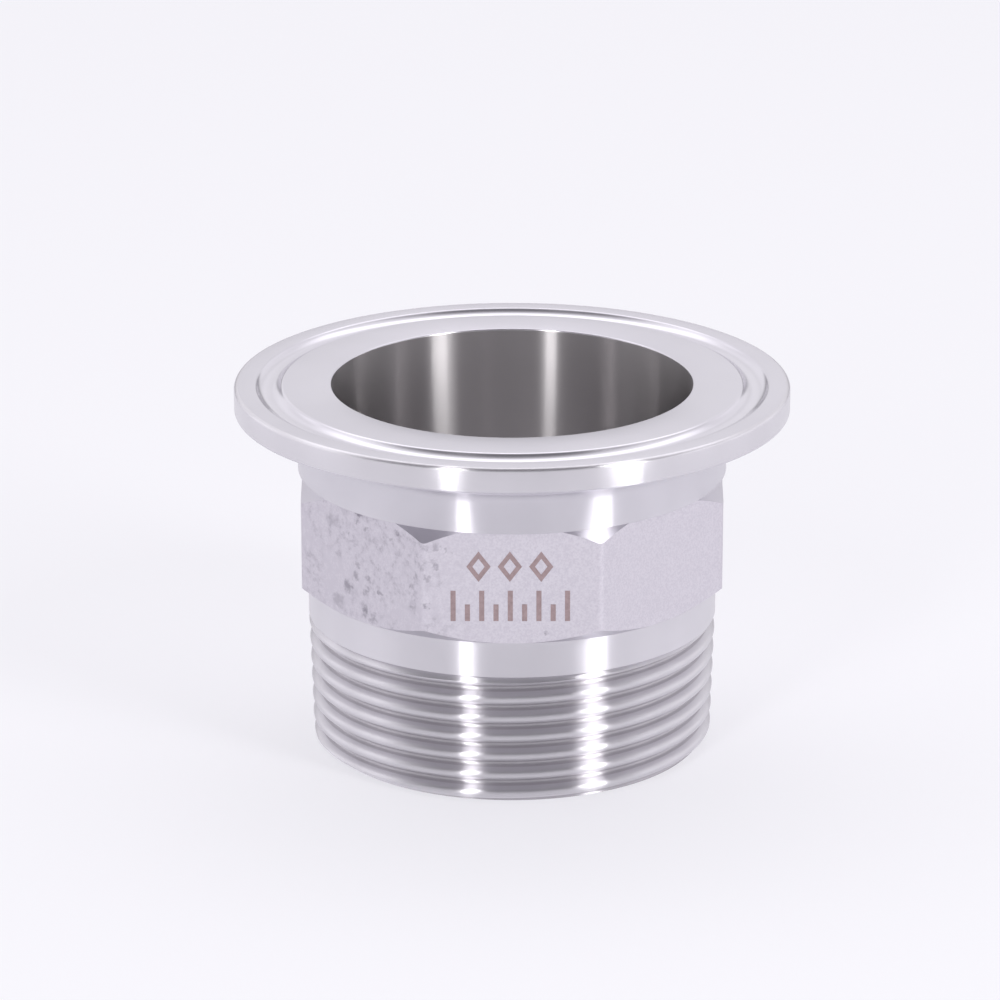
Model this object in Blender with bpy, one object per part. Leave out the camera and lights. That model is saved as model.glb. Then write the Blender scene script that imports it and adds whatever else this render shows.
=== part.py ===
# Sanitary clamp adapter: a clamp flange on top, an octagonal wrench section in the middle and a
# tapered male thread below, all one piece with a plain bore through it.
# The part stands on its thread end at z = 0, its axis is Z, and one wrench flat faces -Y.

import math

import bmesh
import bpy
from mathutils import Vector

MM = 0.001

# Walls and steps, from the bore outwards, so that each outside keeps its clearance from the one within
BORE_DIAMETER = 41.6 * MM
COLLAR_WALL = 2.9 * MM  # the collar's outside is also the thread's crest where the two meet
FLAT_STEP = 0.4 * MM  # from the collar out to the wrench flats
NECK_STEP = 0.65 * MM  # from the wrench flats out to the neck
FACE_LAND_WIDTH = 5.7 * MM  # from the bore to the gasket groove
GROOVE_WIDTH = 3.0 * MM
RIM_WIDTH = 2.5 * MM  # from the groove to the flange's edge

# Flange
RIM_HEIGHT = 2.85 * MM
RIM_TOP_ROUNDING = 0.45 * MM
RIM_BOTTOM_ROUNDING = 0.2 * MM
CLAMP_ANGLE = math.radians(20.0)  # slope of the underside, which the clamp's jaws press on

# Gasket groove in the face
GROOVE_DEPTH = 0.7 * MM
GROOVE_WALL_LEAN = math.radians(42.0)  # from upright, so that the groove is wider at the face
GROOVE_WALL_STRAIGHT = 0.3 * MM  # what the roundings above and below leave of each wall
GROOVE_EDGE_ROUNDING = 0.4 * MM

# Neck and edges
NECK_FILLET = 1.5 * MM
EDGE_BREAK = 0.15 * MM  # chamfer on the turned edges

# Wrench section
FLAT_COUNT = 8
CORNER_ROUNDING = 1.2 * MM
TOP_CHAMFER_HEIGHT = 1.45 * MM  # along the octagon's corner
BOTTOM_CHAMFER_HEIGHT = 1.5 * MM
SHOULDER_WIDTH = 0.45 * MM  # flat ring between the collar and the lower chamfer

# Heights of the zones, from the thread end upwards
THREAD_LENGTH = 15.5 * MM
COLLAR_LENGTH = 4.3 * MM
WRENCH_LENGTH = 13.15 * MM
HEAD_LENGTH = 10.05 * MM

# Thread: 11 to the inch, right-handed, on a 1 in 16 taper
PITCH = 2.309 * MM
FLANK_ANGLE = math.radians(27.5)
CREST_WIDTH = 0.69 * MM
ROOT_WIDTH = 0.37 * MM
DIAMETER_TAPER = 1 / 16
START_ANGLE = math.radians(263.0)  # where the groove's middle crosses the thread end
RUNOUT_ANGLE = math.radians(60.0)
RUNOUT_GAP = 0.2 * MM  # full groove stops this far under the collar
RELIEF_DEPTH = 0.65 * MM  # turned V under the collar, where the thread runs out
RELIEF_HEIGHT = 0.8 * MM
END_CHAMFER_HEIGHT = 0.9 * MM
END_FACE_WIDTH = 1.2 * MM

# Facets
TURN_STEPS = 72
THREAD_STEPS = 72  # in one turn of the helix
CORNER_STEPS = 3
CUT_MARGIN = 0.3 * MM  # how far a cutter runs past what it cuts

# Worked out from the sizes above
BORE_RADIUS = BORE_DIAMETER / 2
COLLAR_RADIUS = BORE_RADIUS + COLLAR_WALL
APOTHEM = COLLAR_RADIUS + FLAT_STEP
NECK_RADIUS = APOTHEM + NECK_STEP
GROOVE_INSIDE = BORE_RADIUS + FACE_LAND_WIDTH
GROOVE_OUTSIDE = GROOVE_INSIDE + GROOVE_WIDTH
FLANGE_RADIUS = GROOVE_OUTSIDE + RIM_WIDTH
CORNER_RADIUS = APOTHEM / math.cos(math.pi / FLAT_COUNT)
BLANK_RADIUS = CORNER_RADIUS + CUT_MARGIN  # the wrench section before its flats are cut
COLLAR_Z = THREAD_LENGTH
WRENCH_Z = COLLAR_Z + COLLAR_LENGTH
NECK_Z = WRENCH_Z + WRENCH_LENGTH
FACE_Z = NECK_Z + HEAD_LENGTH
RADIUS_TAPER = DIAMETER_TAPER / 2
THREAD_DEPTH = (PITCH - CREST_WIDTH - ROOT_WIDTH) / (2 * math.tan(FLANK_ANGLE))


def clear_scene():
    for obj in list(bpy.data.objects):
        bpy.data.objects.remove(obj, do_unlink=True)


def crest_radius(z):
    """Outside of the thread at a height, on the taper that ends at the collar."""
    return COLLAR_RADIUS - (THREAD_LENGTH - z) * RADIUS_TAPER


def rounded(corners):
    """Points of an outline whose corners are (across, up, rounding, steps). No rounding keeps the corner."""
    points = []
    for i, (across, up, rounding, steps) in enumerate(corners):
        corner = Vector((across, up))
        if not rounding:
            points.append(corner)
            continue
        before = (Vector(corners[i - 1][:2]) - corner).normalized()
        after = (Vector(corners[(i + 1) % len(corners)][:2]) - corner).normalized()
        half_angle = before.angle(after) / 2
        middle = corner + (before + after).normalized() * rounding / math.sin(half_angle)
        first = corner + before * rounding / math.tan(half_angle) - middle
        last = corner + after * rounding / math.tan(half_angle) - middle
        sweep = first.angle_signed(last)
        for step in range(steps + 1):
            turn = -sweep * step / steps
            points.append(
                middle
                + Vector(
                    (
                        first.x * math.cos(turn) - first.y * math.sin(turn),
                        first.x * math.sin(turn) + first.y * math.cos(turn),
                    )
                )
            )
    return points


def chamfer_end(radius, z, rise):
    """Where a chamfer that starts at a radius and height meets the blank, if it rises so much by the corner."""
    slope = rise / (CORNER_RADIUS - radius)
    return BLANK_RADIUS, z + slope * (BLANK_RADIUS - radius)


def turned_section():
    """The turned blank's section, from the bore's top edge outwards, down the outside and up the bore."""
    groove_floor = FACE_Z - GROOVE_DEPTH
    groove_inset = GROOVE_DEPTH * math.tan(GROOVE_WALL_LEAN)
    groove_turn = math.tan((math.pi / 2 - GROOVE_WALL_LEAN) / 2)
    groove_wall = GROOVE_DEPTH / math.cos(GROOVE_WALL_LEAN) - GROOVE_WALL_STRAIGHT
    groove_rounding = groove_wall / groove_turn - GROOVE_EDGE_ROUNDING
    rim_z = FACE_Z - RIM_HEIGHT
    underside_z = rim_z - (FLANGE_RADIUS - NECK_RADIUS) * math.tan(CLAMP_ANGLE)
    shoulder_radius = COLLAR_RADIUS + SHOULDER_WIDTH
    relief_z = COLLAR_Z - RELIEF_HEIGHT
    end_radius = BORE_RADIUS + END_FACE_WIDTH
    return rounded(
        [
            (BORE_RADIUS, FACE_Z, EDGE_BREAK, 1),
            (GROOVE_INSIDE, FACE_Z, GROOVE_EDGE_ROUNDING, 2),
            (GROOVE_INSIDE + groove_inset, groove_floor, groove_rounding, 4),
            (GROOVE_OUTSIDE - groove_inset, groove_floor, groove_rounding, 4),
            (GROOVE_OUTSIDE, FACE_Z, GROOVE_EDGE_ROUNDING, 2),
            (FLANGE_RADIUS, FACE_Z, RIM_TOP_ROUNDING, 3),
            (FLANGE_RADIUS, rim_z, RIM_BOTTOM_ROUNDING, 2),
            (NECK_RADIUS, underside_z, NECK_FILLET, 5),
            (NECK_RADIUS, NECK_Z, 0, 0),
            (*chamfer_end(NECK_RADIUS, NECK_Z, -TOP_CHAMFER_HEIGHT), 0, 0),
            (*chamfer_end(shoulder_radius, WRENCH_Z, BOTTOM_CHAMFER_HEIGHT), 0, 0),
            (shoulder_radius, WRENCH_Z, 0, 0),
            (COLLAR_RADIUS, WRENCH_Z, 0, 0),
            (COLLAR_RADIUS, COLLAR_Z, 0, 0),
            (COLLAR_RADIUS - RELIEF_DEPTH, COLLAR_Z, 0, 0),
            (crest_radius(relief_z), relief_z, 0, 0),
            (crest_radius(END_CHAMFER_HEIGHT), END_CHAMFER_HEIGHT, 0, 0),
            (end_radius, 0, 0, 0),
            (BORE_RADIUS, 0, EDGE_BREAK, 1),
        ]
    )


def object_from(name, mesh_builder):
    """An object in the scene, whose mesh is what the builder leaves in a bmesh."""
    mesh = bpy.data.meshes.new(name)
    shape = bmesh.new()
    mesh_builder(shape)
    shape.to_mesh(mesh)
    shape.free()
    obj = bpy.data.objects.new(name, mesh)
    bpy.context.scene.collection.objects.link(obj)
    return obj


def cutter_from(name, mesh_builder):
    obj = object_from(name, mesh_builder)
    obj.hide_render = True
    obj.display_type = "WIRE"
    return obj


def draw_section(shape):
    ring = [shape.verts.new((point.x, 0, point.y)) for point in turned_section()]
    for start, end in zip(ring, ring[1:] + ring[:1]):
        shape.edges.new((start, end))


def turned_blank(name):
    """The section turned once round Z, as on a lathe."""
    blank = object_from(name, draw_section)
    turning = blank.modifiers.new("turning", "SCREW")
    turning.axis = "Z"
    turning.steps = turning.render_steps = TURN_STEPS
    turning.use_merge_vertices = True
    turning.merge_threshold = 1e-6
    return blank


def octagon_outline():
    """The wrench section's outline, with its cast corners rounded."""
    corners = []
    for i in range(FLAT_COUNT):
        angle = 2 * math.pi * (i + 0.5) / FLAT_COUNT
        across = CORNER_RADIUS * math.cos(angle)
        up = CORNER_RADIUS * math.sin(angle)
        corners.append((across, up, CORNER_ROUNDING, CORNER_STEPS))
    return rounded(corners)


def bridge(shape, rings):
    """Faces between each ring of points and the next."""
    for ring, following in zip(rings, rings[1:]):
        for i in range(len(ring)):
            shape.faces.new((ring[i - 1], ring[i], following[i], following[i - 1]))


def draw_flats_ring(shape):
    """An octagonal sleeve round the wrench section, whose outside clears the round blank."""
    inner = octagon_outline()
    outer = [point * (BLANK_RADIUS + CUT_MARGIN) / APOTHEM for point in inner]
    top = NECK_Z
    bottom = COLLAR_Z + COLLAR_LENGTH / 2
    rings = []
    for outline, z in ((inner, top), (inner, bottom), (outer, bottom), (outer, top)):
        rings.append([shape.verts.new((point.x, point.y, z)) for point in outline])
    bridge(shape, rings + rings[:1])
    bmesh.ops.recalc_face_normals(shape, faces=shape.faces)


def groove_section(lift):
    """The thread groove's section as (outwards from the crest, along the axis), widened past the crest.
    It is lifted out of the work by lift where the thread runs out."""
    past_crest = CREST_WIDTH / 4 / math.tan(FLANK_ANGLE)
    half_root = ROOT_WIDTH / 2
    half_mouth = half_root + (THREAD_DEPTH + past_crest) * math.tan(FLANK_ANGLE)
    return (
        (past_crest + lift, half_mouth),
        (lift - THREAD_DEPTH, half_root),
        (lift - THREAD_DEPTH, -half_root),
        (past_crest + lift, -half_mouth),
    )


def draw_thread_groove(shape):
    """The groove that the thread tool cuts: its section carried up the helix, leaning out with the taper."""
    half_groove = (PITCH - CREST_WIDTH) / 2
    first_z = -PITCH
    full_z = THREAD_LENGTH - half_groove - RUNOUT_GAP
    full_steps = round((full_z - first_z) / PITCH * THREAD_STEPS)
    runout_steps = round(RUNOUT_ANGLE / (2 * math.pi) * THREAD_STEPS)
    rings = []
    for step in range(full_steps + runout_steps + 1):
        turns = step / THREAD_STEPS
        z = first_z + turns * PITCH
        angle = START_ANGLE + 2 * math.pi * (z / PITCH)
        lift = THREAD_DEPTH * max(0, step - full_steps) / runout_steps
        ring = []
        for outwards, along in groove_section(lift):
            radius = crest_radius(z + along) + outwards
            point = (radius * math.cos(angle), radius * math.sin(angle), z + along)
            ring.append(shape.verts.new(point))
        rings.append(ring)
    bridge(shape, rings)
    shape.faces.new(rings[0])
    shape.faces.new(rings[-1])
    bmesh.ops.recalc_face_normals(shape, faces=shape.faces)


def cut(body, cutter):
    cutting = body.modifiers.new(cutter.name, "BOOLEAN")
    cutting.operation = "DIFFERENCE"
    cutting.solver = "EXACT"
    cutting.object = cutter


def finish_shape(body, cutters):
    """Turns the modifiers into the final mesh, shades it and takes the cutters away."""
    graph = bpy.context.evaluated_depsgraph_get()
    mesh = bpy.data.meshes.new_from_object(body.evaluated_get(graph))
    body.modifiers.clear()
    body.data = mesh
    mesh.name = body.name
    mesh.shade_smooth()
    mesh.set_sharp_from_angle(angle=math.radians(25))
    for cutter in cutters:
        bpy.data.objects.remove(cutter, do_unlink=True)


def stainless_steel():
    material = bpy.data.materials.new("stainless_steel")
    material.use_nodes = True
    shader = material.node_tree.nodes["Principled BSDF"]
    shader.inputs["Base Color"].default_value = (0.66, 0.65, 0.68, 1)
    shader.inputs["Metallic"].default_value = 1
    shader.inputs["Roughness"].default_value = 0.22
    return material


def main():
    clear_scene()
    body = turned_blank("adapter_body")
    flats = cutter_from("wrench_flats", draw_flats_ring)
    groove = cutter_from("thread_groove", draw_thread_groove)
    cut(body, flats)
    cut(body, groove)
    finish_shape(body, (flats, groove))
    body.data.materials.clear()
    body.data.materials.append(stainless_steel())


main()
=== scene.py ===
import math

import bmesh
import bpy
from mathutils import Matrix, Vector, noise


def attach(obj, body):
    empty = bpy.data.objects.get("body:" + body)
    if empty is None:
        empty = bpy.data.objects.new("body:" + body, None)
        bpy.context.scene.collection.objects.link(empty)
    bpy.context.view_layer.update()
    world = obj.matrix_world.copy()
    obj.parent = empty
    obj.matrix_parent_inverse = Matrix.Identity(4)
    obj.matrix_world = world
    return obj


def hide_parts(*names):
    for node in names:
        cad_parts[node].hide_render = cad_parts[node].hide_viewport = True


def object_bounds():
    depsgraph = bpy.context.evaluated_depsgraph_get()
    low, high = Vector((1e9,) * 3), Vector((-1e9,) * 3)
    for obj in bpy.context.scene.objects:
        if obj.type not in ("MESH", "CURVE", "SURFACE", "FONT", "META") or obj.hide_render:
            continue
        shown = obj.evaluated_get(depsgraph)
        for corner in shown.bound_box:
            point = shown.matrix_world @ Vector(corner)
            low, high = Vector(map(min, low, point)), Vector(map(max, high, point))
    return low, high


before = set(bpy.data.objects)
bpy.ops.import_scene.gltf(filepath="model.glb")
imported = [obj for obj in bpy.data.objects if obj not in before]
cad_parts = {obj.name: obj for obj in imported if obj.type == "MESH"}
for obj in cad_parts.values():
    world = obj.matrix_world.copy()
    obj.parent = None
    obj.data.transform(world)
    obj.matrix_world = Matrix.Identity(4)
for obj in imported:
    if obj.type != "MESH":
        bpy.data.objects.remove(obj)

mm = 0.001
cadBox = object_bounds()
cadSides = Vector(cadBox[1]) - Vector(cadBox[0])
print("frame loaded, box in mm:", [round(side / mm, 2) for side in cadSides])


# sizes are in mm, as in the solid
turned = {
    "flangeRadius": 32.0,
    "rimHeight": 2.85,
    "rimTopRounding": 0.45,
    "rimBottomRounding": 0.2,
    "clampAngle": 20.0,
    "grooveInside": 26.5,
    "grooveOutside": 29.5,
    "grooveDepth": 0.7,
    "grooveLean": 42.0,        # of its walls, from upright
    "grooveRounding": 1.6,
    "grooveEdgeRounding": 0.4,
    "neckRadius": 24.75,
    "neckFillet": 1.5,
    "boreRadius": 20.8,
    "boreEnd": 0.3,            # rows this far in keep the bore's wall straight in the shading
    "edgeBreak": 0.15,
    "faceHeight": 43.0,
}
wrench = {
    "flats": 8,
    "apothem": 24.1,
    "cornerRounding": 1.2,
    "top": 32.95,
    "bottom": 19.8,
    "topChamfer": 1.45,        # along the corner
    "bottomChamfer": 1.5,
    "shoulderRadius": 24.15,
    "rowStep": 0.55,
    "castWave": 0.02,          # how uneven the cast flats are
    "castWaveLength": 3.2,
    "fineWave": (2.3, 0.5),    # a finer wave on top: how much closer, and its share
    "calmRows": 2,             # the wave dies down over this many rows at each end
    "calmShare": 0.4,          # to this share
}
thread = {
    "collarRadius": 23.7,
    "collarBottom": 15.5,
    "collarEdge": 0.04,
    "pitch": 2.309,
    "flankAngle": 27.5,
    "crestWidth": 0.69,
    "rootWidth": 0.37,
    "crestRounding": 0.54,
    "rootRounding": 0.29,
    "rootShadeFrom": 0.86,          # below this share of the depth it has the root's darker colour, painted shade in the thread's roots
    "taper": 1 / 32,           # on the radius
    "startAngle": 263.0,
    "runoutAngle": 60.0,
    "runoutGap": 0.2,
    "reliefDepth": 0.65,
    "reliefHeight": 0.8,
    "endChamfer": 0.9,
    "endFaceWidth": 1.2,
}
meshing = {
    "cornerColumns": 4,        # in each half of an octagon corner
    "besideColumns": 7,        # from there to where the flat leaves the neck
    "flatColumns": 10,         # from there to the flat's middle
    "joinDistance": 0.001,
    "sharpAngle": 32.0,
}


def roundedPath(corners):
    # corners are (across, up, rounding, steps, finish of what follows)
    path = []
    for i, (across, up, rounding, steps, finish) in enumerate(corners):
        corner = Vector((across, up))
        if i in (0, len(corners) - 1) or not rounding:
            path.append((corner.x, corner.y, finish))
            continue
        before = (Vector(corners[i - 1][:2]) - corner).normalized()
        after = (Vector(corners[i + 1][:2]) - corner).normalized()
        half = before.angle(after) / 2
        middle = corner + (before + after).normalized() * rounding / math.sin(half)
        first = corner + before * rounding / math.tan(half) - middle
        last = corner + after * rounding / math.tan(half) - middle
        sweep = -first.angle_signed(last)
        for step in range(steps + 1):
            turn = sweep * step / steps
            across = middle.x + first.x * math.cos(turn) - first.y * math.sin(turn)
            up = middle.y + first.x * math.sin(turn) + first.y * math.cos(turn)
            path.append((across, up, finish))
    return path


def cornerStart():
    # the angle from the middle of a flat round to where its rounded corner starts
    w = wrench
    straight = (w["apothem"] - w["cornerRounding"]) * math.tan(math.pi / w["flats"])
    return math.atan2(straight, w["apothem"])


def columnAngles():
    # close together in the octagon's rounded corners, and one where the flats leave the neck
    w, m = wrench, meshing
    half = math.pi / w["flats"]
    corner = cornerStart()
    neckCut = math.acos(w["apothem"] / turned["neckRadius"])
    stops = (
        (-half, -corner, m["cornerColumns"]),
        (-corner, -neckCut, m["besideColumns"]),
        (-neckCut, 0, m["flatColumns"]),
        (0, neckCut, m["flatColumns"]),
        (neckCut, corner, m["besideColumns"]),
        (corner, half, m["cornerColumns"]),
    )
    angles = []
    for flat in range(w["flats"]):
        middle = -math.pi / 2 + 2 * half * flat
        for start, end, steps in stops:
            angles += [middle + start + (end - start) * step / steps for step in range(steps)]
    return angles


def octagonRadius(angle):
    w = wrench
    half = math.pi / w["flats"]
    fromFlat = abs((angle + math.pi / 2 + half) % (2 * half) - half)
    if fromFlat <= cornerStart():
        return w["apothem"] / math.cos(fromFlat)
    centre = (w["apothem"] - w["cornerRounding"]) / math.cos(half)
    beside = half - fromFlat
    rise = math.sqrt(w["cornerRounding"] ** 2 - (centre * math.sin(beside)) ** 2)
    return centre * math.cos(beside) + rise


def castUnevenness(angle, z):
    w = wrench
    around = Vector((math.cos(angle), math.sin(angle), 0)) * w["apothem"]
    place = Vector((around.x, around.y, z)) / w["castWaveLength"]
    closer, share = w["fineWave"]
    return w["castWave"] * (noise.noise(place) + share * noise.noise(place * closer))


def upperRows():
    # turned outline up the bore, out over the flange and down to the wrench section
    t = turned
    face, rim = t["faceHeight"], t["faceHeight"] - t["rimHeight"]
    slope = math.tan(math.radians(t["clampAngle"]))
    underside = rim - (t["flangeRadius"] - t["neckRadius"]) * slope
    grooveFloor = face - t["grooveDepth"]
    inset = t["grooveDepth"] * math.tan(math.radians(t["grooveLean"]))
    return roundedPath([
        (t["boreRadius"], t["boreEnd"], 0, 0, "bore"),
        (t["boreRadius"], face - t["boreEnd"], 0, 0, "bore"),
        (t["boreRadius"], face, t["edgeBreak"], 3, "face"),
        (t["grooveInside"], face, t["grooveEdgeRounding"], 5, "groove"),
        (t["grooveInside"] + inset, grooveFloor, t["grooveRounding"], 10, "groove"),
        (t["grooveOutside"] - inset, grooveFloor, t["grooveRounding"], 10, "groove"),
        (t["grooveOutside"], face, t["grooveEdgeRounding"], 5, "face"),
        (t["flangeRadius"], face, t["rimTopRounding"], 6, "rim"),
        (t["flangeRadius"], rim, t["rimBottomRounding"], 4, "neck"),
        (t["neckRadius"], underside, t["neckFillet"], 10, "neck"),
        (t["neckRadius"], wrench["top"], 0, 0, "chamfer"),
    ])


def wrenchColumn(angle):
    # (radius, height, finish) down one column of the wrench section
    w = wrench
    sharpCorner = w["apothem"] / math.cos(math.pi / w["flats"])
    topSlope = w["topChamfer"] / (sharpCorner - turned["neckRadius"])
    bottomSlope = w["bottomChamfer"] / (sharpCorner - w["shoulderRadius"])
    plain = octagonRadius(angle)
    top = w["top"] - topSlope * max(0, plain - turned["neckRadius"])
    bottom = w["bottom"] + bottomSlope * max(0, plain - w["shoulderRadius"])
    rows = round((w["top"] - w["bottom"]) / w["rowStep"])
    column = []
    for row in range(rows + 1):
        z = top + (bottom - top) * row / rows
        fade = min(1, row / w["calmRows"], (rows - row) / w["calmRows"])
        share = w["calmShare"] + (1 - w["calmShare"]) * fade
        finish = "cast" if row < rows else "chamfer"
        column.append((plain + castUnevenness(angle, z) * share, z, finish))
    column.append((min(plain, w["shoulderRadius"]), w["bottom"], "collar"))
    return column


def lowerRows():
    t = thread
    radius, bottom, edge = t["collarRadius"], t["collarBottom"], t["collarEdge"]
    return [
        (radius, wrench["bottom"], "collar"),
        (radius, (wrench["bottom"] + bottom) / 2, "collar"),
        (radius, bottom + edge, "collar"),
        (radius - edge, bottom, "thread"),
        (radius - t["reliefDepth"], bottom, "thread"),
    ]


def crestRadius(z):
    return thread["collarRadius"] - (thread["collarBottom"] - z) * thread["taper"]


def threadForm():
    # one pitch from the middle of a groove up to the middle of the next, as (height, depth)
    t = thread
    slope = math.tan(math.radians(t["flankAngle"]))
    depth = (t["pitch"] - t["crestWidth"] - t["rootWidth"]) / 2 / slope
    root, mouth = t["rootWidth"] / 2, (t["pitch"] - t["crestWidth"]) / 2
    path = roundedPath([
        (depth, -root, 0, 0, ""),
        (depth, root, t["rootRounding"], 4, ""),
        (0, mouth, t["crestRounding"], 4, ""),
        (0, t["pitch"] - mouth, t["crestRounding"], 4, ""),
        (depth, t["pitch"] - root, t["rootRounding"], 4, ""),
        (depth, t["pitch"] + root, 0, 0, ""),
    ])
    form = [(0.0, depth)]
    for (down, up, _), (nextDown, nextUp, _) in zip(path[1:], path[2:]):
        form.append((up, down))
        if abs(nextDown - down) > depth / 2:   # rows of their own for the flanks
            for part in (1 / 3, 2 / 3):
                form.append((up + (nextUp - up) * part, down + (nextDown - down) * part))
    return form, depth


def threadColumn(turn, form, depth):
    # down one column, from the collar to the end face; turn is how far round the helix it stands
    t = thread
    pitch, top = t["pitch"], t["collarBottom"]
    fullTo = top - (pitch - t["crestWidth"]) / 2 - t["runoutGap"]
    runout = pitch * t["runoutAngle"] / 360
    endRadius = turned["boreRadius"] + t["endFaceWidth"]
    endSlope = (crestRadius(t["endChamfer"]) - endRadius) / t["endChamfer"]
    reliefFrom = top - t["reliefHeight"]
    reliefRadius = crestRadius(reliefFrom)
    reliefSlope = (reliefRadius - t["collarRadius"] + t["reliefDepth"]) / t["reliefHeight"]
    column = []
    for k in range(math.ceil(top / pitch) + 5):   # the start lies below the end face
        for up, down in form:
            groove = pitch * (turn + k + (up > pitch / 2))
            z = min(max(pitch * (turn + k) + up, 0), top)
            lift = depth * min(1, max(0, (groove - fullTo) / runout))
            radius = crestRadius(z) - max(0, down - lift)
            radius = min(radius, endRadius + endSlope * z)
            radius = min(radius, reliefRadius - reliefSlope * max(0, z - reliefFrom))
            # the deepest rows take the root's darker colour: painted shade in the thread's roots
            finish = "root" if down - lift > t["rootShadeFrom"] * depth else "thread"
            column.append((radius, z, finish))
    return column[::-1]


def boreRows():
    # from the end face in to the bore
    t = turned
    return roundedPath([
        (t["boreRadius"] + thread["endFaceWidth"], 0, 0, 0, "face"),
        (t["boreRadius"], 0, t["edgeBreak"], 3, "bore"),
        (t["boreRadius"], t["boreEnd"], 0, 0, "bore"),
    ])


def addStrip(shape, angles, columns, finishes, slip=0):
    # faces between neighbouring columns; on the helix the last column stands slip rows
    # behind the first
    made = []
    for angle, column in zip(angles, columns):
        x, y = math.cos(angle) * mm, math.sin(angle) * mm
        made.append([shape.verts.new((radius * x, radius * y, z * mm)) for radius, z, _ in column])
    for i, left in enumerate(made):
        right = made[(i + 1) % len(made)]
        behind = slip if i == len(made) - 1 else 0
        for row in range(behind, len(left) - 1):
            corners = (left[row], left[row + 1], right[row + 1 - behind], right[row - behind])
            if len({tuple(corner.co) for corner in corners}) > 2:
                quad = shape.faces.new(corners)
                quad.material_index = finishes.index(columns[i][row][2])


def buildAdapter(materials):
    finishes = list(materials)
    angles = columnAngles()
    form, depth = threadForm()
    startAngle = math.radians(thread["startAngle"])
    firstTurn = (angles[0] - startAngle) / (2 * math.pi) % 1 - 2
    turns = [firstTurn + (angle - angles[0]) / (2 * math.pi) for angle in angles]
    above, below, inside = upperRows(), lowerRows(), boreRows()
    upper = [above + wrenchColumn(angle) + below for angle in angles]
    threaded = [threadColumn(turn, form, depth) for turn in turns]
    shape = bmesh.new()
    addStrip(shape, angles, upper, finishes)
    addStrip(shape, angles, threaded, finishes, len(form))
    addStrip(shape, angles, [inside] * len(angles), finishes)
    # joins the three strips
    bmesh.ops.remove_doubles(shape, verts=shape.verts, dist=meshing["joinDistance"] * mm)
    loose = [vert for vert in shape.verts if not vert.link_faces]
    bmesh.ops.delete(shape, geom=loose, context="VERTS")
    openEdges = sum(not edge.is_manifold for edge in shape.edges)
    mesh = bpy.data.meshes.new("adapter")
    shape.to_mesh(mesh)
    shape.free()
    mesh.shade_smooth()
    mesh.set_sharp_from_angle(angle=math.radians(meshing["sharpAngle"]))
    for material in materials.values():
        mesh.materials.append(material)
    adapter = bpy.data.objects.new("adapter", mesh)
    bpy.context.scene.collection.objects.link(adapter)
    print("adapter built:", len(mesh.polygons), "faces,", openEdges, "open edges")
    return adapter


def addNode(tree, kind, settings=None, inputs=None):
    # an input is given as a value or as another node's output
    node = tree.nodes.new(kind)
    for name, value in (settings or {}).items():
        setattr(node, name, value)
    for name, value in (inputs or {}).items():
        socket = node.inputs[name]
        if isinstance(value, bpy.types.NodeSocket):
            tree.links.new(value, socket)
        elif socket.type == "RGBA":
            socket.default_value = (*value, 1)
        else:
            socket.default_value = value
    return node


def maths(tree, operation, *values):
    node = addNode(tree, "ShaderNodeMath", {"operation": operation}, dict(enumerate(values)))
    return node.outputs[0]


def ramp(tree, value, low, high, toLow=0.0, toHigh=1.0, curve="SMOOTHSTEP"):
    node = addNode(tree, "ShaderNodeMapRange", {"interpolation_type": curve}, {
        "Value": value, "From Min": low, "From Max": high, "To Min": toLow, "To Max": toHigh,
    })
    return node.outputs["Result"]


def mixColours(tree, share, first, second):
    node = addNode(tree, "ShaderNodeMix", {"data_type": "RGBA"}, {
        "Factor": share, "A": first, "B": second,
    })
    return node.outputs["Result"]


def separate(tree, vector):
    parts = addNode(tree, "ShaderNodeSeparateXYZ", inputs={0: vector})
    return parts.outputs["X"], parts.outputs["Y"], parts.outputs["Z"]


def newMetal(name):
    # a material of bare metal, with its node tree, its shader and the object's coordinates
    material = bpy.data.materials.new(name)
    material.use_nodes = True
    tree = material.node_tree
    shader = tree.nodes["Principled BSDF"]
    shader.inputs["Metallic"].default_value = 1
    coordinates = addNode(tree, "ShaderNodeTexCoord").outputs["Object"]
    return material, tree, shader, coordinates


# lines are lathe lines to the mm, bump is in mm, and streaks is the share of a narrower lobe
finishLooks = {
    "face": {
        "colour": (0.66, 0.64, 0.69), "roughness": 0.24, "anisotropy": 0.85,
        "lines": 5.0, "bump": 0.00015,
    },
    "groove": {
        "colour": (0.69, 0.67, 0.72), "roughness": 0.19, "anisotropy": 0.85,
        "lines": 5.0, "bump": 0.00015,
    },
    "rim": {
        "colour": (0.73, 0.71, 0.75), "roughness": 0.26, "anisotropy": 0.95,
        "lines": 6.0, "bump": 0.0001, "streaks": 0.3,
    },
    "neck": {
        "colour": (0.71, 0.69, 0.74), "roughness": 0.284, "anisotropy": 1.0,
        "lines": 6.0, "bump": 0.0001, "streaks": 0.35,
    },
    # the chamfers' colour is darker than the other turned steel: painted shade, standing in for the
    # top facets' dark reflection of the flange's underside
    "chamfer": {
        "colour": (0.56, 0.54, 0.59), "roughness": 0.3, "anisotropy": 1.0,
        "lines": 6.0, "bump": 0.0001,
    },
    "collar": {
        "colour": (0.73, 0.71, 0.755), "roughness": 0.284, "anisotropy": 1.0,
        "lines": 6.0, "bump": 0.0001, "streaks": 0.3,
    },
    "thread": {
        "colour": (0.705, 0.685, 0.725), "roughness": 0.29, "anisotropy": 1.0,
        "lines": 9.0, "bump": 0.00015, "streaks": 0.42,
    },
    # the root's colour is darker than the thread's: painted shade in the thread's roots
    "root": {
        "colour": (0.55, 0.53, 0.56), "roughness": 0.31, "anisotropy": 1.0,
        "lines": 9.0, "bump": 0.00015, "streaks": 0.4,
    },
    # the bore's colour is darker than the outer turned steel: painted shade inside the bore
    "bore": {
        "colour": (0.492, 0.471, 0.48), "roughness": 0.285, "anisotropy": 1.0,
        "lines": 6.0, "bump": 0.0001, "streaks": 0.3,
    },
}
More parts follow.
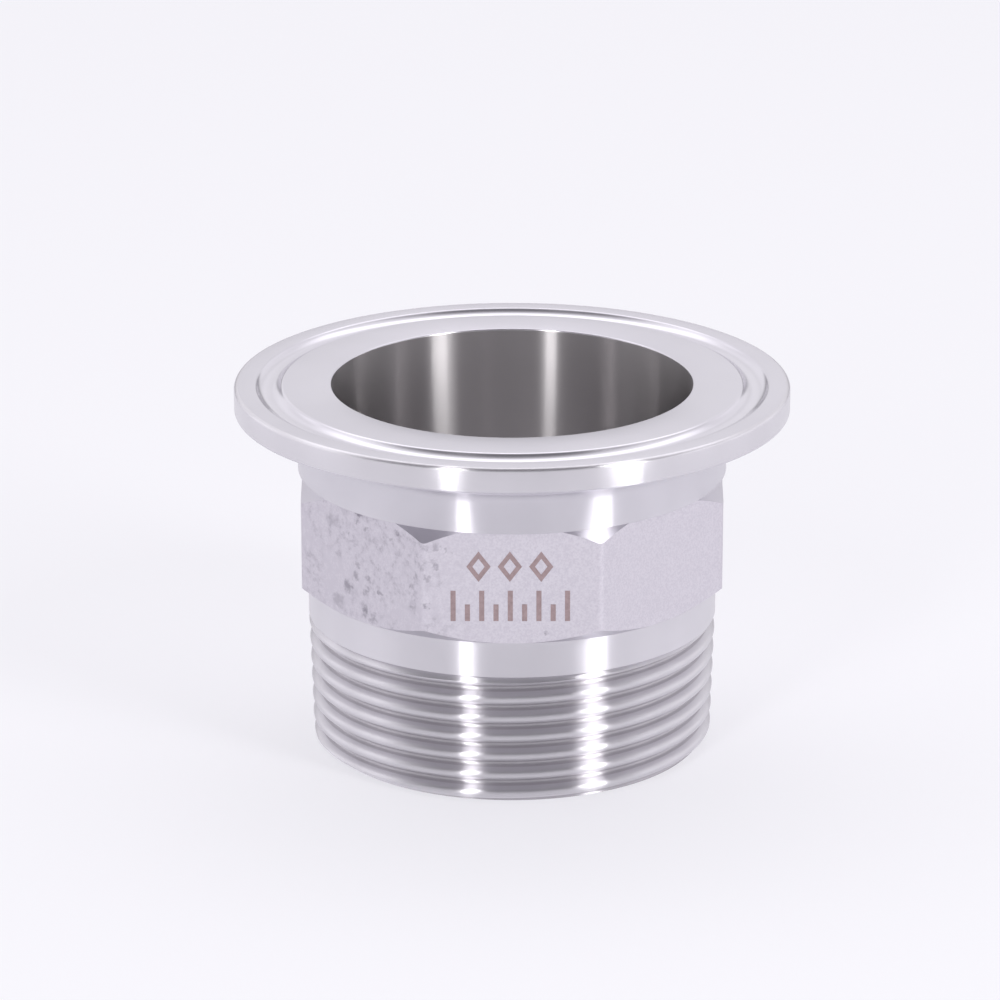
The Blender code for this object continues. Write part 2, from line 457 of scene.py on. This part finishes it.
# what all the turned finishes share
latheLook = {
    "spreadTurn": 0.25,        # turns the wide side of the reflections across the lines
    "lineDetail": 3,
    "patchScale": 0.18,        # to the mm
    "patchDetail": 4,
    "tintSpread": 0.04,
    "polishSpread": 0.03,
    "streakRoughness": 0.25,
    "streakAnisotropy": 0.88,
}


def turnedSteel(name, look):
    lathe = latheLook
    material, tree, shader, coordinates = newMetal(name)
    shader.inputs["Anisotropic"].default_value = look["anisotropy"]
    shader.inputs["Anisotropic Rotation"].default_value = lathe["spreadTurn"]
    around = addNode(tree, "ShaderNodeTangent", {"direction_type": "RADIAL", "axis": "Z"})
    tangent = around.outputs["Tangent"]
    tree.links.new(tangent, shader.inputs["Tangent"])

    # the lathe's lines: noise that runs only across them, along radius plus height
    x, y, z = separate(tree, coordinates)
    flat = addNode(tree, "ShaderNodeCombineXYZ", inputs={"X": x, "Y": y}).outputs[0]
    radius = addNode(tree, "ShaderNodeVectorMath", {"operation": "LENGTH"}, {0: flat})
    across = maths(tree, "ADD", radius.outputs["Value"], z)
    lines = addNode(tree, "ShaderNodeTexNoise", {"noise_dimensions": "1D"}, {
        "W": across, "Scale": look["lines"] / mm, "Detail": lathe["lineDetail"],
    }).outputs["Fac"]

    # faint patches where the polish differs
    patches = addNode(tree, "ShaderNodeTexNoise", inputs={
        "Vector": coordinates, "Scale": lathe["patchScale"] / mm, "Detail": lathe["patchDetail"],
    }).outputs["Fac"]
    darker = tuple(c * (1 - lathe["tintSpread"]) for c in look["colour"])
    paler = tuple(c * (1 + lathe["tintSpread"]) for c in look["colour"])
    tint = mixColours(tree, patches, darker, paler)
    tree.links.new(tint, shader.inputs["Base Color"])

    smoother = look["roughness"] * (1 - lathe["polishSpread"])
    rougher = look["roughness"] * (1 + lathe["polishSpread"])
    polish = ramp(tree, lines, 0, 1, smoother, rougher, "LINEAR")
    tree.links.new(polish, shader.inputs["Roughness"])
    bump = addNode(tree, "ShaderNodeBump", inputs={
        "Strength": 1, "Distance": look["bump"] * mm, "Height": lines,
    })
    tree.links.new(bump.outputs["Normal"], shader.inputs["Normal"])
    if "streaks" in look:
        # a narrower, taller lobe keeps the streaks of light crisp all the way down
        narrow = addNode(tree, "ShaderNodeBsdfAnisotropic", inputs={
            "Color": tint, "Tangent": tangent,
            "Roughness": lathe["streakRoughness"], "Anisotropy": lathe["streakAnisotropy"],
        })
        both = addNode(tree, "ShaderNodeMixShader", inputs={
            "Fac": look["streaks"], 1: shader.outputs["BSDF"], 2: narrow.outputs["BSDF"],
        })
        tree.links.new(both.outputs["Shader"], tree.nodes["Material Output"].inputs["Surface"])
    return material


# places are in mm and scales are to the mm; each span is where its noise sets in and is full
castLook = {
    "pale": (0.69, 0.662, 0.715),
    "dull": (0.605, 0.575, 0.635),
    "dark": (0.30, 0.28, 0.325),
    "roughness": (0.42, 0.58),
    "roughSpan": (0.3, 0.7),
    "paleSpan": (0.35, 0.65),
    "stainSpan": (0.48, 0.68),
    "clusterSpan": (0.42, 0.56),
    "stainSpeckle": (0.3, 0.65, 0.35, 0.9),   # a span, and the stain's share at each end of it
    "darkerLeftSpan": (0.35, 0.6),
    "speckle": {"scale": 4.5, "detail": 3, "roughness": 0.6},
    "stain": {"scale": 1.15, "detail": 4, "roughness": 0.65},
    "cluster": {"scale": 0.17, "detail": 3, "roughness": 0.5},
    "grain": 0.004,            # mm high
    "stainedSide": (-3, -12),  # across the part, from the first stains to the full number
    "darkerLeftSide": (-2, -14),
    "darkerLeftShare": 0.6,
    # noise bends the places, so that the single spots have ragged outlines
    "bendScale": 1.7,
    "bend": 1.6,
    # a spot starts at this many radii, and is full at this many
    "spotEdge": (1.35, 0.3),
    "spotDepth": 1.2,
    # single spots: along the flat from its middle, height, radius, strength
    "leftSpots": (
        (-0.3, 32.85, 0.62, 1.0), (-0.4, 31.75, 0.34, 0.55), (0.75, 31.1, 0.36, 0.5),
        (-2.2, 29.8, 0.28, 0.45), (5.9, 31.75, 0.36, 0.55), (5.0, 30.8, 0.4, 0.5),
        (-2.2, 23.5, 0.75, 0.62), (-0.9, 24.9, 0.5, 0.5), (-0.7, 26.5, 0.36, 0.4),
        (1.2, 25.2, 0.45, 0.5), (0.8, 23.7, 0.42, 0.45), (3.0, 24.0, 0.34, 0.55),
        (0.6, 21.2, 0.65, 0.7), (-3.8, 21.4, 0.9, 0.35), (1.9, 20.6, 0.6, 0.45),
        (-4.9, 30.8, 0.8, 0.3), (8.9, 27.4, 0.4, 0.45), (8.3, 26.1, 0.4, 0.4),
        (8.3, 23.5, 0.5, 0.4),
    ),
    "frontSpots": (
        (-9.7, 24.2, 0.34, 0.6), (-9.5, 27.5, 0.4, 0.4), (-8.5, 28.8, 0.42, 0.45),
        (-7.2, 30.8, 0.34, 0.4), (-8.5, 31.2, 0.4, 0.35), (3.9, 21.1, 0.26, 0.5),
    ),
}


def castSteel(name, look):
    material, tree, shader, coordinates = newMetal(name)

    def castNoise(kind):
        return addNode(tree, "ShaderNodeTexNoise", inputs={
            "Vector": coordinates, "Scale": kind["scale"] / mm,
            "Detail": kind["detail"], "Roughness": kind["roughness"],
        }).outputs["Fac"]

    speckle, stain, cluster = [castNoise(look[kind]) for kind in ("speckle", "stain", "cluster")]
    fromLeft, _, _ = separate(tree, coordinates)
    paleness = ramp(tree, speckle, *look["paleSpan"])
    ground = mixColours(tree, paleness, look["dull"], look["pale"])
    # the left side of the casting is the stained one
    start, full = look["stainedSide"]
    stains = ramp(tree, stain, *look["stainSpan"])
    for factor in (
        ramp(tree, cluster, *look["clusterSpan"]),
        ramp(tree, fromLeft, start * mm, full * mm),
        ramp(tree, speckle, *look["stainSpeckle"]),
    ):
        stains = maths(tree, "MULTIPLY", stains, factor)
    ground = mixColours(tree, stains, ground, look["dark"])
    # the flats get darker towards the left, mixed towards the dull colour in the stain noise's
    # patches
    start, full = look["darkerLeftSide"]
    darkerLeft = ramp(tree, fromLeft, start * mm, full * mm, 0.0, look["darkerLeftShare"])
    darkerLeft = maths(tree, "MULTIPLY", ramp(tree, stain, *look["darkerLeftSpan"]), darkerLeft)
    ground = mixColours(tree, darkerLeft, ground, look["dull"])

    bend = addNode(tree, "ShaderNodeTexNoise", inputs={
        "Vector": coordinates, "Scale": look["bendScale"] / mm,
    }).outputs["Color"]
    bent = addNode(tree, "ShaderNodeVectorMath", {"operation": "MULTIPLY_ADD"}, {
        0: bend, 1: [look["bend"] * mm] * 3, 2: coordinates,
    }).outputs[0]
    half = look["bend"] / 2    # what the noise adds on average
    edge, core = look["spotEdge"]
    for turn, spots in ((-45, look["leftSpots"]), (0, look["frontSpots"])):
        turn = math.radians(turn)
        for along, height, radius, strength in spots:
            x = wrench["apothem"] * math.sin(turn) + along * math.cos(turn)
            y = -wrench["apothem"] * math.cos(turn) + along * math.sin(turn)
            away = addNode(tree, "ShaderNodeVectorMath", {"operation": "DISTANCE"}, {
                0: bent, 1: [(part + half) * mm for part in (x, y, height)],
            }).outputs["Value"]
            depth = strength * look["spotDepth"]
            spot = ramp(tree, away, radius * edge * mm, radius * core * mm, 0.0, depth)
            ground = mixColours(tree, spot, ground, look["dark"])
    tree.links.new(ground, shader.inputs["Base Color"])
    satin = ramp(tree, speckle, *look["roughSpan"], *look["roughness"])
    tree.links.new(satin, shader.inputs["Roughness"])
    bump = addNode(tree, "ShaderNodeBump", inputs={
        "Strength": 1, "Distance": look["grain"] * mm, "Height": speckle,
    })
    tree.links.new(bump.outputs["Normal"], shader.inputs["Normal"])
    return material


materials = {finish: turnedSteel(finish + "Steel", look) for finish, look in finishLooks.items()}
materials["cast"] = castSteel("castSteel", castLook)
print("finishes ready:", ", ".join(materials))
adapter = buildAdapter(materials)
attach(adapter, "root")
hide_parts("adapter_body")


# plain etched shapes on the front flat
etched = {
    "colour": (0.37, 0.285, 0.29),
    "tint": (0.8, 1.3),        # from the darkest to the palest, times the colour
    "roughness": 0.55,
    "grain": 2.5,              # to the mm
    "lineWidth": 0.52,
    "proud": 0.03,
    "sunk": 0.05,
    "diamonds": {
        "height": 28.9, "half": (1.35, 1.8), "places": (-3.75, -0.25, 3.25),
        "inset": (1.25, 1.65),   # of the inner outline, in line widths
    },
    "bars": {
        "height": 24.25, "half": 1.8, "places": (-6.6, -5.0, -3.4, -1.8, -0.2, 1.4, 3.0, 4.6, 6.2),
        "halfWidth": 0.55,     # in line widths
        "shortTop": 0.1,       # how far over the middle the short ones reach, times half
    },
}


def etchedSteel(look):
    material, tree, shader, coordinates = newMetal("etchedSteel")
    shader.inputs["Roughness"].default_value = look["roughness"]
    grain = addNode(tree, "ShaderNodeTexNoise", inputs={
        "Vector": coordinates, "Scale": look["grain"] / mm,
    }).outputs["Fac"]
    darkest, palest = [tuple(c * share for c in look["colour"]) for share in look["tint"]]
    tree.links.new(mixColours(tree, grain, darkest, palest), shader.inputs["Base Color"])
    return material


def etchedMarks(look):
    shape = bmesh.new()
    front = -wrench["apothem"]

    def loop(outline, depth):
        return [shape.verts.new((x * mm, depth * mm, z * mm)) for x, z in outline]

    def plate(outer, inner=None):
        rings = []
        for depth in (front - look["proud"], front + look["sunk"]):
            rings.append([loop(outer, depth), loop(inner, depth) if inner else None])
        for side in (0, 1):
            if rings[0][side]:
                near, far = rings[0][side], rings[1][side]
                for i in range(len(near)):
                    shape.faces.new((near[i - 1], near[i], far[i], far[i - 1]))
        for outerRing, innerRing in rings:
            if innerRing:
                for i in range(len(outerRing)):
                    outerSide = (outerRing[i - 1], outerRing[i])
                    shape.faces.new((*outerSide, innerRing[i], innerRing[i - 1]))
            else:
                shape.faces.new(outerRing)

    def diamond(x, z, across, up):
        return [(x - across, z), (x, z - up), (x + across, z), (x, z + up)]

    d, b, width = look["diamonds"], look["bars"], look["lineWidth"]
    for x in d["places"]:
        across, up = d["half"]
        insetAcross, insetUp = d["inset"]
        inner = diamond(x, d["height"], across - width * insetAcross, up - width * insetUp)
        plate(diamond(x, d["height"], across, up), inner)
    for i, x in enumerate(b["places"]):
        half = width * b["halfWidth"]
        low = b["height"] - b["half"]
        high = b["height"] + b["half"] * (1 if i % 2 == 0 else b["shortTop"])
        plate([(x - half, low), (x + half, low), (x + half, high), (x - half, high)])
    bmesh.ops.recalc_face_normals(shape, faces=shape.faces)
    mesh = bpy.data.meshes.new("etchedMarks")
    shape.to_mesh(mesh)
    shape.free()
    mesh.materials.append(etchedSteel(look))
    marks = bpy.data.objects.new("etchedMarks", mesh)
    bpy.context.scene.collection.objects.link(marks)
    return marks


marks = etchedMarks(etched)
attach(marks, "root")
print("etched marks built")


studio = {
    "floorColour": (0.88, 0.872, 0.91),
    "floorSize": 4.0,
    "floorSquares": 8,
    "floorRoughness": 0.9,
    "floorShine": 0.1,
    "floorGlow": (0.965, 0.955, 1.0),
    "glowShare": 0.57,         # how much of the floor's look is that even glow
    "lampAim": 0.02,
    "lamps": (
        {
            "name": "leftStrip", "azimuth": -25.5, "elevation": 25.0,
            "distance": 1.3, "size": (0.16, 0.95), "power": 4.2,
        },
        {
            "name": "rightStrip", "azimuth": 48.0, "elevation": 25.0,
            "distance": 1.3, "size": (0.25, 0.95), "power": 6.4,
        },
    ),
}
# all round the part; each zone sets in and is full at these parts of the direction, where
# ahead is Y with some of Z
surroundings = {
    "sweep": (0.96, 0.95, 0.98),   # the white sweep behind the part
    "sides": (1.3, 1.285, 1.33),   # and beside it
    "sideSpan": (0.35, 0.95),
    "leftShare": 0.7,
    "unevenness": 0.12,
    "bands": (3.2, 3.2, 0.5),      # how close the tall soft bands lie
    "bandSpan": (0.3, 0.7),
    "aheadTilt": -0.5,
    # on the right the sweep ends lower than on the left
    "upperRight": {"colour": (0.55, 0.54, 0.565), "z": (0.28, 0.58), "x": (0.5, 0.9)},
    "zones": (
        # the dimmer room in front of the part
        {"colour": (0.2, 0.196, 0.21), "ahead": (-0.25, -0.72), "z": (0.0, 0.55)},
        # where the sweep meets the table, far behind
        {"colour": (0.36, 0.352, 0.375), "z": (0.17, 0.1), "y": (0.78, 0.92)},
        # the ceiling above and behind
        {"colour": (1.9, 1.88, 1.93), "z": (0.55, 0.8), "y": (0.22, 0.42)},
    ),
}


def addFloor(look):
    shape = bmesh.new()
    squares = look["floorSquares"]
    bmesh.ops.create_grid(shape, x_segments=squares, y_segments=squares, size=look["floorSize"])
    mesh = bpy.data.meshes.new("floor")
    shape.to_mesh(mesh)
    shape.free()
    floor = bpy.data.objects.new("floor", mesh)
    bpy.context.scene.collection.objects.link(floor)
    material = bpy.data.materials.new("whiteTable")
    material.use_nodes = True
    tree = material.node_tree
    shader = tree.nodes["Principled BSDF"]
    shader.inputs["Base Color"].default_value = (*look["floorColour"], 1)
    shader.inputs["Roughness"].default_value = look["floorRoughness"]
    shader.inputs["Specular IOR Level"].default_value = look["floorShine"]
    glow = addNode(tree, "ShaderNodeEmission", inputs={"Color": look["floorGlow"]})
    rays = addNode(tree, "ShaderNodeLightPath").outputs
    seen = maths(tree, "MAXIMUM", rays["Is Camera Ray"], rays["Is Glossy Ray"])
    mix = addNode(tree, "ShaderNodeMixShader", inputs={
        "Fac": maths(tree, "MULTIPLY", seen, look["glowShare"]),
        1: shader.outputs["BSDF"], 2: glow.outputs["Emission"],
    })
    tree.links.new(mix.outputs["Shader"], tree.nodes["Material Output"].inputs["Surface"])
    mesh.materials.append(material)


def addLamp(look, aim):
    light = bpy.data.lights.new(look["name"], "AREA")
    light.shape = "RECTANGLE"
    light.size, light.size_y = look["size"]
    light.energy = look["power"]
    lamp = bpy.data.objects.new(look["name"], light)
    bpy.context.scene.collection.objects.link(lamp)
    azimuth, elevation = math.radians(look["azimuth"]), math.radians(look["elevation"])
    level = math.cos(elevation)
    out = Vector((math.sin(azimuth) * level, -math.cos(azimuth) * level, math.sin(elevation)))
    lamp.location = out * look["distance"] + Vector((0, 0, aim))
    lamp.rotation_euler = out.to_track_quat("Z", "Y").to_euler()


def addWorld(look):
    world = bpy.data.worlds.new("studio")
    bpy.context.scene.world = world
    world.use_nodes = True
    tree = world.node_tree
    direction = addNode(tree, "ShaderNodeTexCoord").outputs["Generated"]
    x, y, z = separate(tree, direction)
    axes = {"x": x, "y": y, "z": z, "ahead": maths(tree, "MULTIPLY_ADD", z, look["aheadTilt"], y)}

    def addZone(colour, zone):
        first, second = [ramp(tree, axes[axis], *zone[axis]) for axis in zone if axis in axes]
        return mixColours(tree, maths(tree, "MULTIPLY", first, second), colour, zone["colour"])

    near, far = look["sideSpan"]
    left, right = ramp(tree, x, -near, -far), ramp(tree, x, near, far)
    beside = maths(tree, "MULTIPLY_ADD", left, look["leftShare"], right)
    colour = mixColours(tree, beside, look["sweep"], look["sides"])
    colour = addZone(colour, look["upperRight"])
    bands = addNode(tree, "ShaderNodeMapping", inputs={"Vector": direction, "Scale": look["bands"]})
    bands = addNode(tree, "ShaderNodeTexNoise", inputs={
        "Vector": bands.outputs["Vector"], "Scale": 1, "Detail": 1,
    }).outputs["Fac"]
    least, most = 1 - look["unevenness"], 1 + look["unevenness"]
    uneven = ramp(tree, bands, *look["bandSpan"], least, most, "LINEAR")
    colour = addNode(tree, "ShaderNodeVectorMath", {"operation": "SCALE"}, {
        0: colour, "Scale": uneven,
    }).outputs[0]
    for zone in look["zones"]:
        colour = addZone(colour, zone)
    tree.links.new(colour, tree.nodes["Background"].inputs["Color"])


addFloor(studio)
for lampLook in studio["lamps"]:
    addLamp(lampLook, studio["lampAim"])
addWorld(surroundings)
print("studio ready")


view = {
    "distance": 0.6, "down": 18.759, "aimHeight": 0.028575,
    "lens": 186.235, "sensor": 36, "shift": -0.0121, "nearest": 0.01,
}
cameraData = bpy.data.cameras.new("camera")
cameraData.lens = view["lens"]
cameraData.sensor_width = view["sensor"]
cameraData.shift_x = view["shift"]
cameraData.clip_start = view["nearest"]
camera = bpy.data.objects.new("camera", cameraData)
bpy.context.scene.collection.objects.link(camera)
down = math.radians(view["down"])
height = view["aimHeight"] + view["distance"] * math.sin(down)
camera.location = (0, -view["distance"] * math.cos(down), height)
camera.rotation_euler = (math.pi / 2 - down, 0, 0)
bpy.context.scene.camera = camera
bpy.context.scene.view_settings.view_transform = "Standard"
print("camera placed")

bpy.context.view_layer.update()
